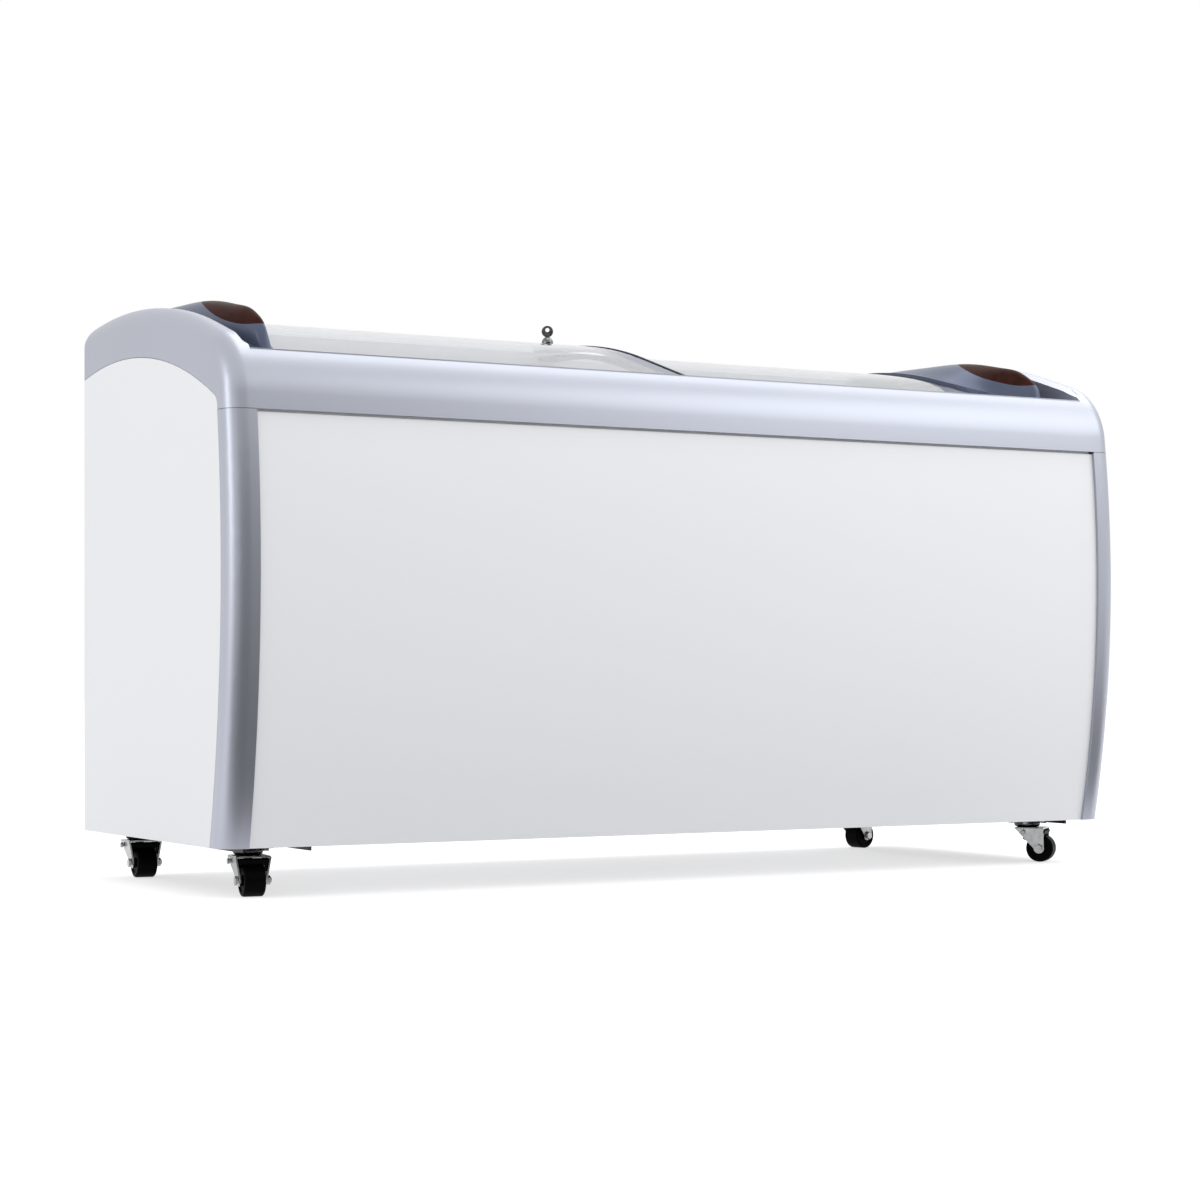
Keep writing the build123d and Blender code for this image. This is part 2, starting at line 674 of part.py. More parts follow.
# Basket ledges on the tank's long walls
ledge_z = seam_height - basket_ledge_drop
save("basket_ledges",
     block(-tank_x, tank_x, tank_front, tank_front + basket_ledge, ledge_z - wire, ledge_z),
     block(-tank_x, tank_x, tank_rear - basket_ledge, tank_rear, ledge_z - wire, ledge_z))


def grid(width, height):
    """A welded wire grid as one holed face, centred on the origin and one wire thick."""
    across = max(2, round(width / wire_pitch))
    up = max(2, round(height / wire_pitch))
    hole_w = (width - wire) / across - wire
    hole_h = (height - wire) / up - wire
    holes = GridLocations(hole_w + wire, hole_h + wire, across, up) * Rectangle(hole_w, hole_h)
    return extrude(Rectangle(width, height) - holes, wire / 2, both=True)


# Hanging baskets: five flat grids under a rim of bars that lies on the ledges
basket_span = 2 * tank_x - basket_gap
basket_width = basket_span / bay_count - basket_gap
basket_y0 = tank_front + basket_ledge + basket_margin
basket_y1 = tank_rear - basket_ledge - basket_margin
basket_middle = (basket_y0 + basket_y1) / 2
rim_low = ledge_z + seat_gap
basket_floor = rim_low - basket_depth


def basket(x):
    """One basket about a place along the tank."""
    span_y = basket_y1 - basket_y0
    panel_z = (rim_low + basket_floor) / 2
    walls = []
    for y in (basket_y0 + wire / 2, basket_y1 - wire / 2):
        plane = Plane(origin=(x, y, panel_z), x_dir=(1, 0, 0), z_dir=(0, -1, 0))
        walls.append(plane * grid(basket_width, basket_depth))
    for side in (-1, 1):
        wall_x = x + side * (basket_width - wire) / 2
        plane = Plane(origin=(wall_x, basket_middle, panel_z), x_dir=(0, 1, 0), z_dir=(1, 0, 0))
        walls.append(plane * grid(span_y - 2 * wire, basket_depth))
    walls.append(Pos(x, basket_middle, basket_floor + wire / 2)
                 * grid(basket_width - 2 * wire, span_y - 2 * wire))
    rim_y0, rim_y1 = tank_front + seat_gap * 2, tank_rear - seat_gap * 2
    x0, x1 = x - basket_width / 2, x + basket_width / 2
    rim_top = rim_low + rim_wire
    bars = [block(x0, x0 + rim_wire, rim_y0, rim_y1, rim_low, rim_top),
            block(x1 - rim_wire, x1, rim_y0, rim_y1, rim_low, rim_top)]
    for y0, y1 in ((rim_y0, rim_y0 + rim_wire), (basket_y0 - wire, basket_y0 + wire),
                   (basket_y1 - wire, basket_y1 + wire), (rim_y1 - rim_wire, rim_y1)):
        bars.append(block(x0 + rim_wire, x1 - rim_wire, y0, y1, rim_low, rim_top))
    return [*walls, *bars]


for number, bay in enumerate(basket_bays, 1):
    place = -tank_x + basket_gap + basket_width / 2 + (bay - 1) * (basket_width + basket_gap)
    save(f"basket_{number}", *basket(place))

# Lids. Pieces are made for the right-hand end and mirrored for the left-hand lid, which lies a step higher.
lid_end = cap_inner - lid_end_gap
free_end = -lid_overlap / 2
frame_start = cap_inner - frame_width
# Pull: distance behind the front panel's lower edge, height over the glass, reach inwards, reach outwards
ridge_shape = [(54, 6, 9, 9), (58, 20, 11, 12), (64, 34, 13, 15), (74, 45, 16, 19), (95, 53, 19, 24),
               (120, 57, 21, 29), (150, 55.5, 26, 34), (180, 52, 43, 38), (240, 45, 68, 42),
               (300, 36, 72, 43), (370, 24, 72, 43), (440, 15.5, 70, 42), (505, 10, 66, 40), (560, 7, 60, 38)]
# Lower edge of the grip in the pull: distance behind the same edge, height over the glass
grip_edge = [(300, 36), (228, 31), (188, 28), (145, 28.5), (100, 34), (60, 46)]


def ridge_solid():
    """The raised pull of an end frame: a back that swells near the front and runs out to the rear."""
    crest = cap_inner - ridge_crest
    sections = []
    for behind, height, inwards, outwards in ridge_shape:
        y = front + behind
        foot = lid_z(y, 0) + frame_inset
        rise = height - frame_inset
        points = [(crest - inwards, foot), (crest - 0.67 * inwards, foot + 0.38 * rise),
                  (crest - 0.34 * inwards, foot + 0.8 * rise), (crest, foot + rise),
                  (crest + 0.5 * outwards, foot + 0.9 * rise), (crest + 0.85 * outwards, foot + 0.5 * rise),
                  (crest + outwards, foot)]
        plane = Plane(origin=(0, y, 0), x_dir=(1, 0, 0), z_dir=(0, -1, 0))
        sections.append(plane * make_face([Spline(*points), Line(points[-1], points[0])]))
    return loft(sections)


def grip_cutter():
    """Everything above the grip's lower edge, through the width of the pull."""
    points = [(front + behind, lid_z(front + behind, 0) + height) for behind, height in grip_edge]
    top = points[0][1] + ridge_crest
    over_front, over_tip = (points[-1][0], top), (points[0][0], top)
    ends = [Line(points[-1], over_front), Line(over_front, over_tip), Line(over_tip, points[0])]
    return side_prism([Spline(*points), *ends], frame_start, cap_inner)


def frame_notch():
    """Room for fingers beside the pull: the frame's inner edge follows the pull towards the front."""
    crest = cap_inner - ridge_crest
    foot = [(crest - inwards - notch_lip, front + behind)
            for behind, height, inwards, outwards in ridge_shape if behind < notch_start]
    start, corner = (frame_start - 1, front + notch_start), (frame_start - 1, front)
    nose = (foot[0][0], front)
    edges = [Spline(*foot, start), Line(start, corner), Line(corner, nose), Line(nose, foot[0])]
    low = lid_z(front, -glass)
    return extrude(Plane.XY.offset(low) * make_face(edges), 2 * lid_rise)


def lid_pieces(drop, y_front, y_rear):
    """Glass, end frame, grip and inner end frame of a lid at the right-hand end."""
    pane = lid_band(0, -glass, y_front, y_rear, free_end, lid_end)
    ridge = ridge_solid()
    cutter = grip_cutter()
    plate = lid_band(frame_plate, 0, y_front, y_rear, frame_start, lid_end) - frame_notch()
    end_frame = plate + (ridge - cutter)
    inner_frame = lid_band(-glass, -glass - mid_frame_depth, track_back + 2, rear_track_front - 2,
                           free_end, free_end + mid_frame_width)
    grip = (ridge & cutter) - plate
    return [Pos(0, 0, -drop) * piece for piece in (pane, end_frame, grip, inner_frame)]


right_glass, right_frame, right_grip, right_inner = lid_pieces(lid_step, lower_front, lower_rear)
save("right_lid_glass", right_glass)
save("right_lid_end_frame", right_frame)
save("right_lid_grip", right_grip)
save("right_lid_inner_frame", right_inner)

left_glass, left_frame, left_grip, left_inner = [
    mirrored(piece) for piece in lid_pieces(0, upper_front, upper_rear)]
save("left_lid_end_frame", left_frame)
save("left_lid_grip", left_grip)

# Seal on the upper lid's free edge: it laps over the glass and hangs down to the lower lid
upper_end = -free_end
seal = lid_band(seal_thick, 0, upper_front, upper_rear, upper_end - seal_width, upper_end)
seal += lid_band(seal_thick, -seal_drop, track_back + 2, rear_track_front - 2,
                 upper_end, upper_end + seal_thick)
save("centre_seal", seal)

# Lock: a domed barrel through the upper lid near its free end, with the key standing in it
lock_x = upper_end - lock_from_end
lock_y = back - lock_from_back
lock_z = lid_z(lock_y, 0)
lock_hole = rod((lock_x, lock_y, lock_z - 4 * glass), (lock_x, lock_y, lock_z + glass),
                lock_shank_radius + seat_gap)
save("left_lid_glass", left_glass - lock_hole)
save("left_lid_inner_frame", left_inner - lock_hole)
lock_height = lock_collar + lock_radius
barrel = rod((0, 0, seat_gap), (0, 0, lock_collar), lock_radius)
dome = Sphere(lock_radius, arc_size1=0, align=(Align.CENTER, Align.CENTER, Align.MIN))
barrel += Pos(0, 0, lock_collar) * dome
barrel += rod((0, 0, -glass - mid_frame_depth), (0, 0, seat_gap), lock_shank_radius)
barrel -= rod((0, 0, lock_height - key_depth), (0, 0, lock_height + 1), key_hole_radius)
save("lock_barrel", Pos(lock_x, lock_y, lock_z) * barrel)
head_z = lock_height + key_stem
key = block(-key_blade / 2, key_blade / 2, -key_thick / 2, key_thick / 2,
            lock_height - key_depth + seat_gap, head_z - key_head_radius / 2)
key += rod((0, -key_thick / 2, head_z), (0, key_thick / 2, head_z), key_head_radius)
key -= rod((0, -key_thick, head_z + 3), (0, key_thick, head_z + 3), key_eye_radius)
save("key", Pos(lock_x, lock_y, lock_z) * Rot(0, 0, -key_turn) * key)

# Base channels: two inverted trays under the cabinet that carry the casters
channel_low = base_height - channel_height
web_low = base_height - channel_sheet
caster_x = half - caster_setback
caster_y0, caster_y1 = front + caster_front, back - caster_rear
channel_y0, channel_y1 = front + channel_front, back - channel_rear
bolt_places = [(sx * bolt_spacing / 2, sy * bolt_spacing / 2) for sx in (-1, 1) for sy in (-1, 1)]
corners = {"front_left": (-caster_x, caster_y0), "front_right": (caster_x - front_inset, caster_y0),
           "rear_left": (-caster_x, caster_y1), "rear_right": (caster_x - rear_inset, caster_y1)}


def base_channel(x0, x1, hollow_x0):
    """The channel between two places, hollow below, with the bolt holes of its two casters."""
    body = block(x0, x1, channel_y0, channel_y1, channel_low, base_height)
    body -= block(hollow_x0, x1 - channel_sheet, channel_y0 - 1, channel_y1 + 1, channel_low - 1, web_low)
    bolt_hole = Cylinder(bolt_radius + bolt_hole_gap, 3 * channel_sheet)
    for x, y in corners.values():
        if x0 < x < x1:
            for dx, dy in bolt_places:
                body -= Pos(x + dx, y + dy, web_low) * bolt_hole
    return body


channel_x = half - channel_setback
save("base_channels",
     base_channel(-channel_x, -channel_x + channel_width, -channel_x + channel_sheet),
     base_channel(channel_x - wide_channel, channel_x, channel_x - wide_channel - 1))
save("base_pan", base_pan)

# Caster plates with their swivel races and king pins
plate_low = web_low - plate_thick
race_low = plate_low - race_height
fork_top = race_low - seat_gap
fork_low = fork_top - fork_sheet
fork_end = caster_trail + fork_eye
pin_head = 2.5


def caster_plate(x, y):
    """Mounting plate, swivel race, king pin and the pin's riveted head."""
    plate = Pos(x, y, plate_low + plate_thick / 2) * Box(plate_size, plate_size, plate_thick)
    for dx, dy in bolt_places:
        plate -= Pos(x + dx, y + dy, plate_low) * Cylinder(bolt_radius + bolt_hole_gap, 3 * plate_thick)
    race = rod((x, y, race_low), (x, y, plate_low), race_radius)
    race = fillet(race.edges().filter_by(GeomType.CIRCLE).group_by(Axis.Z)[0], race_height * 0.6)
    plate += race
    rivet_top = fork_low - seat_gap
    plate += rod((x, y, rivet_top), (x, y, race_low), kingpin_radius)
    return plate + rod((x, y, rivet_top - pin_head), (x, y, rivet_top), kingpin_radius + pin_head)


save("caster_plates", *[caster_plate(x, y) for x, y in corners.values()])


def caster_bolt(x, y):
    """A hexagon bolt through the plate into the channel's web."""
    bolt = rod((x, y, plate_low), (x, y, base_height - seat_gap), bolt_radius)
    return bolt + hex_prism((x, y, plate_low - 4), (x, y, plate_low), 10)


save("caster_bolts", *[caster_bolt(x + dx, y + dy) for x, y in corners.values() for dx, dy in bolt_places])


def fork_leg(side):
    """A tapered leg that leans in towards the axle."""
    top_y, foot_y = fork_width / 2, fork_foot / 2
    lean = degrees(asin((top_y - foot_y) / (fork_top - wheel_radius)))
    shoulder = fork_top - fork_sheet / 2
    outline = make_face(Polyline(
        (fork_end - fork_length, shoulder), (fork_end, shoulder), (fork_end, wheel_radius),
        (caster_trail - fork_eye, wheel_radius), close=True))
    outline += Pos(caster_trail, wheel_radius) * Circle(fork_eye)
    plane = Plane(origin=(0, fork_sheet, 0), x_dir=(1, 0, 0), z_dir=(0, -1, 0))
    leg = extrude(plane * outline, fork_sheet)
    leg = Pos(0, 0, shoulder) * Rot(-lean, 0, 0) * Pos(0, 0, -shoulder) * leg
    leg = Pos(0, top_y - fork_sheet, 0) * leg
    return leg if side > 0 else mirror(leg, about=Plane.XZ)


def cross_bolt(x, z, reach, radius, across_flats):
    """A bolt through both legs with a head and a nut."""
    bolt = rod((x, -reach - 4, z), (x, reach + 7, z), radius)
    bolt += hex_prism((x, -reach - 4, z), (x, -reach, z), across_flats)
    return bolt + hex_prism((x, reach, z), (x, reach + 5, z), across_flats)


def caster_fork():
    """Swivel fork about the origin: pressed top, two leaning legs, the axle bolt and a guard bolt."""
    top_y = (fork_width - fork_sheet) / 2
    fork = block(fork_end - fork_length, fork_end, -top_y, top_y, fork_low, fork_top)
    fork += fork_leg(-1)
    fork += fork_leg(1)
    fork -= rod((0, 0, fork_low - 1), (0, 0, fork_top + 1), kingpin_radius + running_fit)
    lean = (fork_width - fork_foot) / 2 / (fork_top - wheel_radius)
    axle_reach = fork_foot / 2 + fork_eye * lean
    guard_x, guard_z = caster_trail - guard_back, wheel_radius + guard_up
    guard_reach = axle_reach + guard_up * lean
    for x, z, radius in ((caster_trail, wheel_radius, axle_radius), (guard_x, guard_z, guard_radius)):
        fork -= rod((x, -fork_width, z), (x, fork_width, z), radius + running_fit)
    return [fork, cross_bolt(caster_trail, wheel_radius, axle_reach, axle_radius, 13),
            cross_bolt(guard_x, guard_z, guard_reach, guard_radius, 8)]


def caster_wheel():
    """Solid wheel with a rounded tread, dished sides and a raised hub."""
    rim = wheel_radius - 2 * wheel_edge
    face_y = wheel_width / 2
    dish = face_y - 2
    bore = axle_radius + running_fit
    side = [(bore, face_y + hub_proud), (hub_radius, face_y + hub_proud), (hub_radius, dish), (rim, dish),
            (rim + 1, face_y), (wheel_radius - wheel_edge, face_y)]
    other = [(r, -y) for r, y in side]
    round_y = face_y - wheel_edge
    edges = [Polyline(*side), Polyline(*other), Line(side[0], other[0]),
             Line((wheel_radius, round_y), (wheel_radius, -round_y)),
             bend_arc((wheel_radius - wheel_edge, round_y), side[-1], (wheel_radius, round_y)),
             bend_arc((wheel_radius - wheel_edge, -round_y), other[-1], (wheel_radius, -round_y))]
    return Pos(caster_trail, 0, wheel_radius) * revolve(make_face(edges), axis=Axis.Y)


for corner, (x, y) in corners.items():
    turn = Pos(x, y, 0) * Rot(0, 0, headings[corner])
    save(f"{corner}_caster_fork", *[turn * piece for piece in caster_fork()])
    save(f"{corner}_caster_wheel", turn * caster_wheel())

# Compressor on four rubber feet, with its relay box
shell_x, shell_y = half - compressor_x, compressor_y
foot_top = base_top + foot_height
shell_low = foot_top + foot_plate
shell_top = shell_low + compressor_height
shell = rod((shell_x, shell_y, shell_low), (shell_x, shell_y, shell_top), compressor_radius)
shell = fillet(shell.edges().filter_by(GeomType.CIRCLE), compressor_round)
shell += Pos(shell_x, shell_y, foot_top + foot_plate / 2) * Box(
    foot_spacing_x + 4 * foot_radius, foot_spacing_y + 4 * foot_radius, foot_plate)
shell += rod((shell_x, shell_y, shell_low), (shell_x, shell_y, shell_low + compressor_round),
             compressor_radius / 2)
relay_z = foot_top + compressor_height / 2
relay = block(shell_x - 25, shell_x + 25, shell_y + compressor_radius + seat_gap,
              shell_y + compressor_radius + 32, relay_z - 30, relay_z + 30)
save("compressor", shell)
save("relay_box", relay)
save("compressor_feet", *[
    rod((shell_x + sx * foot_spacing_x / 2, shell_y + sy * foot_spacing_y / 2, base_top),
        (shell_x + sx * foot_spacing_x / 2, shell_y + sy * foot_spacing_y / 2, foot_top), foot_radius)
    for sx in (-1, 1) for sy in (-1, 1)])

# Fan shroud, motor and fan, with the condenser between them and the vent grille
shroud_x = half - shroud_inset
shroud_y0, shroud_y1 = fan_axis_y - shroud_width / 2, fan_axis_y + shroud_width / 2
shroud = block(shroud_x - shroud_sheet, shroud_x, shroud_y0, shroud_y1, base_top, base_top + shroud_height)
shroud -= rod((shroud_x - 2 * shroud_sheet, fan_axis_y, fan_axis_z),
              (shroud_x + shroud_sheet, fan_axis_y, fan_axis_z), fan_radius + fan_clearance)
shroud += block(shroud_x - 40, shroud_x, shroud_y0, shroud_y1, base_top, base_top + shroud_sheet)
save("fan_shroud", shroud)

hub_back = shroud_x - 22
motor_face = hub_back - 4
motor_back = motor_face - motor_length
motor = rod((motor_back, fan_axis_y, fan_axis_z), (motor_face, fan_axis_y, fan_axis_z), motor_radius)
motor += rod((motor_face, fan_axis_y, fan_axis_z), (hub_back + 20, fan_axis_y, fan_axis_z), shaft_radius)
arm_end = fan_radius + fan_clearance + 8
for i in range(3):
    angle = radians(90 + 120 * i)
    tip_y, tip_z = fan_axis_y + arm_end * cos(angle), fan_axis_z + arm_end * sin(angle)
    arm_x = motor_face - motor_length / 2
    motor += rod((arm_x, fan_axis_y, fan_axis_z), (arm_x, tip_y, tip_z), 3)
    motor += rod((arm_x, tip_y, tip_z), (shroud_x - shroud_sheet, tip_y, tip_z), 4)
save("fan_motor", motor)

fan = rod((hub_back, 0, 0), (hub_back + 18, 0, 0), fan_hub)
blade = Pos(hub_back + 9, 0, (fan_hub + fan_radius) / 2 - 3) * Rot(0, 0, fan_blade_pitch) * Box(
    2.0, 34, fan_radius - fan_hub)
for i in range(fan_blades):
    fan += Rot(360 * i / fan_blades, 0, 0) * blade
fan -= rod((hub_back - 1, 0, 0), (hub_back + 19, 0, 0), shaft_radius + running_fit)
save("condenser_fan", Pos(0, fan_axis_y, fan_axis_z) * fan)

condenser_x = shroud_x + condenser_radius + seat_gap
condenser_reach = shroud_width / 2 - 20
condenser_low = fan_axis_z - condenser_pitch * (condenser_passes - 1) / 2
condenser_points = []
for i in range(condenser_passes):
    z = condenser_low + i * condenser_pitch
    for y in ((-condenser_reach, condenser_reach) if i % 2 == 0 else (condenser_reach, -condenser_reach)):
        condenser_points.append((condenser_x, fan_axis_y + y, z))
save("condenser_coil", tube(condenser_points, condenser_pitch * 0.45, condenser_radius))

# Refrigerant lines and the filter drier
condenser_end = condenser_points[-1]
line_top = shell_top + line_rise
out_y = condenser_end[1] - 16
discharge = tube([(shell_x, shell_y - 30, shell_top - 1), (shell_x, shell_y - 30, line_top),
                  (shell_x, out_y, line_top), (condenser_x, out_y, line_top),
                  (condenser_x, out_y, condenser_end[2]),
                  (condenser_x, condenser_end[1] - seat_gap, condenser_end[2])], 7, line_radius)
suction = tube([(shell_x, shell_y + 30, shell_top - 1), (shell_x, shell_y + 30, line_top),
                (bay_x + sheet + seat_gap, shell_y + 30, line_top)], 9, line_radius)
save("refrigerant_lines", discharge - shell, suction - shell)

# Vent grille: a louvred plate in the right side panel
grille = block(panel_face, half, grille_y0 + seat_gap, grille_y1 - seat_gap,
               grille_z0 + seat_gap, grille_z1 - seat_gap)
grille += block(panel_face - grille_thick, panel_face, grille_y0 - 8, grille_y1 + 8,
                grille_z0 - 8, grille_z1 + 8)
slot_pitch = (grille_height - 20) / grille_slots
for i in range(grille_slots):
    z = grille_z0 + 10 + (i + 0.5) * slot_pitch
    grille -= block(half - 20, half + 1, grille_y0 + 12, grille_y1 - 12,
                    z - slot_pitch / 4, z + slot_pitch / 4)
save("vent_grille", grille)

# Control plate: a shallow tray behind a window in the right side panel
tray_face = panel_face - control_recess
tray = block(tray_face - 2, panel_face, control_y0 - 4, control_y1 + 4, control_z0 - 4, control_z1 + 4)
tray -= block(tray_face, half, control_y0, control_y1, control_z0, control_z1)
knob_y, rocker_y, lamp_y = control_y - 25, control_y + 18, control_y + 42
tray -= rod((tray_face - 5, knob_y, control_z), (tray_face + 5, knob_y, control_z),
            spindle_radius + running_fit)
tray -= block(tray_face - 5, tray_face + 5, rocker_y - rocker_width / 2 - rocker_gap,
              rocker_y + rocker_width / 2 + rocker_gap, control_z - rocker_height / 2 - rocker_gap,
              control_z + rocker_height / 2 + rocker_gap)
lamp_places = [(lamp_y, control_z + dz) for dz in (-22, 0, 22)]
for y, z in lamp_places:
    tray -= rod((tray_face - 5, y, z), (tray_face + 5, y, z), lamp_radius + running_fit)
save("control_plate", tray)
save("indicator_lamps", *[
    rod((tray_face - 8, y, z), (tray_face + 1.5, y, z), lamp_radius) for y, z in lamp_places])

knob_face = tray_face + seat_gap
knob = rod((knob_face, knob_y, control_z), (knob_face + knob_height, knob_y, control_z), knob_radius)
knob += block(tray_face + knob_height, tray_face + knob_height + 2, knob_y - 2, knob_y + 2,
              control_z - knob_radius + 2, control_z + knob_radius - 2)
knob += rod((tray_face - 12, knob_y, control_z), (tray_face + 1, knob_y, control_z), spindle_radius)
save("thermostat_knob", knob)

rocker_z = control_z
rocker = block(tray_face - 3, tray_face + 3, rocker_y - rocker_width / 2, rocker_y + rocker_width / 2,
               rocker_z - rocker_height / 2, rocker_z + rocker_height / 2)
rocker += rod((tray_face - 1, rocker_y - rocker_width / 2 - rocker_gap + seat_gap, rocker_z),
              (tray_face - 1, rocker_y + rocker_width / 2 + rocker_gap - seat_gap, rocker_z), 0.8)
save("power_rocker", rocker)

# Cable gland through the base pan; the supply cord itself is not part of the model
gland = rod((0, 0, base_top), (0, 0, base_top + 14), gland_radius)
gland += rod((0, 0, base_height - 8), (0, 0, base_top), gland_radius - drain_wall)
gland -= rod((0, 0, 0), (0, 0, 2 * base_height), gland_bore)
save("power_inlet", Pos(gland_x, gland_y, 0) * gland)
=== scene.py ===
"""Looks of the ice cream display freezer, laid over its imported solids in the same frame, in metres."""
from math import cos, radians, sin

import bmesh
import bpy
from mathutils import Matrix, Vector


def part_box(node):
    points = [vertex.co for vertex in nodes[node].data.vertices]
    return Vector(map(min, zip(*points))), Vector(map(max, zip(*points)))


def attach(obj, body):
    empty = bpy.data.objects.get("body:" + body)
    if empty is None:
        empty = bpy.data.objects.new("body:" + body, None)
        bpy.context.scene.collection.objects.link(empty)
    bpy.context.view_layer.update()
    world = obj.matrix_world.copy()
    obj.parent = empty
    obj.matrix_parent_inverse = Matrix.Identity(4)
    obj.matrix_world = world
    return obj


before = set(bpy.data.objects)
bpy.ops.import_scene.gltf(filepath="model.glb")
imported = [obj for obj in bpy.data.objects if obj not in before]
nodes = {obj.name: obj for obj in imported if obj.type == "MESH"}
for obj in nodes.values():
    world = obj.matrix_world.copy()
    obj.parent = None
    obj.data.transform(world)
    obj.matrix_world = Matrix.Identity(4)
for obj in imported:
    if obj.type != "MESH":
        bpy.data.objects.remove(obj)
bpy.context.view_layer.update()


# Inner tank and basket ledges.
# Stucco embossed aluminium sheet, coated white and riveted at the corners.
def surface(name, dark, light, drift, rough, grain, depth, metallic=0.0, specular=0.5, stretch=(1, 1, 1)):
    """A finish whose colour and gloss wander between two values, over a fine bump.

    Drift and grain are the noises' scales per metre, and depth is the height of the bump in metres.
    """
    cloud_low, cloud_high = 0.2, 0.8
    made = bpy.data.materials.new(name)
    made.use_nodes = True
    tree = made.node_tree
    shader = tree.nodes["Principled BSDF"]
    shader.inputs["Metallic"].default_value = metallic
    shader.inputs["Specular IOR Level"].default_value = specular
    place = tree.nodes.new("ShaderNodeTexCoord")
    turn = tree.nodes.new("ShaderNodeMapping")
    turn.inputs["Scale"].default_value = stretch
    tree.links.new(place.outputs["Object"], turn.inputs["Vector"])
    cloud = tree.nodes.new("ShaderNodeTexNoise")
    cloud.inputs["Scale"].default_value = drift
    cloud.inputs["Detail"].default_value = 1.0
    tree.links.new(turn.outputs["Vector"], cloud.inputs["Vector"])
    tint = tree.nodes.new("ShaderNodeValToRGB")
    tint.color_ramp.interpolation = "B_SPLINE"
    tint.color_ramp.elements[0].position = cloud_low
    tint.color_ramp.elements[1].position = cloud_high
    tint.color_ramp.elements[0].color = (*dark, 1)
    tint.color_ramp.elements[1].color = (*light, 1)
    tree.links.new(cloud.outputs["Fac"], tint.inputs["Fac"])
    tree.links.new(tint.outputs["Color"], shader.inputs["Base Color"])
    gloss = tree.nodes.new("ShaderNodeMapRange")
    gloss.inputs["From Min"].default_value = cloud_low
    gloss.inputs["From Max"].default_value = cloud_high
    gloss.inputs["To Min"].default_value = rough[0]
    gloss.inputs["To Max"].default_value = rough[1]
    tree.links.new(cloud.outputs["Fac"], gloss.inputs["Value"])
    tree.links.new(gloss.outputs["Result"], shader.inputs["Roughness"])
    fine = tree.nodes.new("ShaderNodeTexNoise")
    fine.inputs["Scale"].default_value = grain
    fine.inputs["Detail"].default_value = 2.0
    tree.links.new(turn.outputs["Vector"], fine.inputs["Vector"])
    bump = tree.nodes.new("ShaderNodeBump")
    bump.inputs["Distance"].default_value = depth
    tree.links.new(fine.outputs["Fac"], bump.inputs["Height"])
    tree.links.new(bump.outputs["Normal"], shader.inputs["Normal"])
    return made


def dress(finish, *names):
    """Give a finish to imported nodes."""
    for name in names:
        nodes[name].data.materials.clear()
        nodes[name].data.materials.append(finish)


stucco = surface("stucco_sheet", (0.76, 0.77, 0.78), (0.82, 0.83, 0.84),
                 drift=3.0, rough=(0.35, 0.45), grain=150.0, depth=4e-4, metallic=0.25)
dress(stucco, "inner_tank", "basket_ledges")

# Evaporator and refrigerant lines.
# Drawn copper tube, dulled by handling, bent round the tank and brazed to the machine.
copper = surface("copper_tube", (0.52, 0.22, 0.12), (0.72, 0.36, 0.21),
                 drift=45.0, rough=(0.25, 0.45), grain=700.0, depth=2e-5, metallic=1.0)
dress(copper, "evaporator_coil", "refrigerant_lines")

# Base pan, back panel and compartment liner.
# Galvanised sheet, left as it comes from the mill with a soft spangle, folded and riveted together.
zinc = surface("mill_zinc", (0.46, 0.47, 0.49), (0.60, 0.61, 0.62),
               drift=55.0, rough=(0.32, 0.5), grain=220.0, depth=2e-5, metallic=1.0)
dress(zinc, "base_pan", "back_panel", "compartment_liner")

# Front and side panels.
# Sheet steel, coated white on the roll and then folded. The coat has a fine orange peel and a soft gloss.
white_coat = surface("white_coat", (0.815, 0.825, 0.845), (0.825, 0.835, 0.855),
                     drift=0.9, rough=(0.38, 0.40), grain=700.0, depth=1.2e-5)
dress(white_coat, "front_panel", "left_side_panel", "right_side_panel")

# Insulation.
# Polyurethane foam, poured between the panels and the tank, where it sets round the evaporator.
foam = surface("poured_foam", (0.70, 0.58, 0.34), (0.80, 0.69, 0.45),
               drift=30.0, rough=(0.85, 0.95), grain=320.0, depth=6e-4)
dress(foam, "insulation_foam")


# Posts, end caps and rails.
# Injection moulded and sprayed silver, with a fine metallic fleck under a satin lacquer; clipped together.
# The shading runs on over the joints between faces that meet smoothly.
def weld(name):
    """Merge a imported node's loose triangles, ahead of its other modifiers."""
    merge = nodes[name].modifiers.new("weld", "WELD")
    merge.merge_threshold = 1e-5


def crease(name):
    """Keep the sharp edges of a welded node sharp."""
    split = nodes[name].modifiers.new("crease", "EDGE_SPLIT")
    split.split_angle = radians(24)


silver = surface("silver_moulding", (0.43, 0.45, 0.515), (0.46, 0.48, 0.545),
                 drift=2.2, rough=(0.37, 0.41), grain=2400.0, depth=6e-6, metallic=0.8)
for name in ("left_corner_post", "right_corner_post", "left_end_cap", "right_end_cap", "front_rail", "rear_rail"):
    dress(silver, name)
    weld(name)
    crease(name)
    nodes[name].modifiers.new("normals", "WEIGHTED_NORMAL")

# Lid tracks.
# Extruded plastic with faint draw lines along its length, clipped over the tank's rims.
track = surface("drawn_plastic", (0.66, 0.67, 0.69), (0.72, 0.73, 0.75),
                drift=30.0, rough=(0.35, 0.5), grain=900.0, depth=2e-5, stretch=(0.02, 1, 1))
dress(track, "front_lid_track", "rear_lid_track")


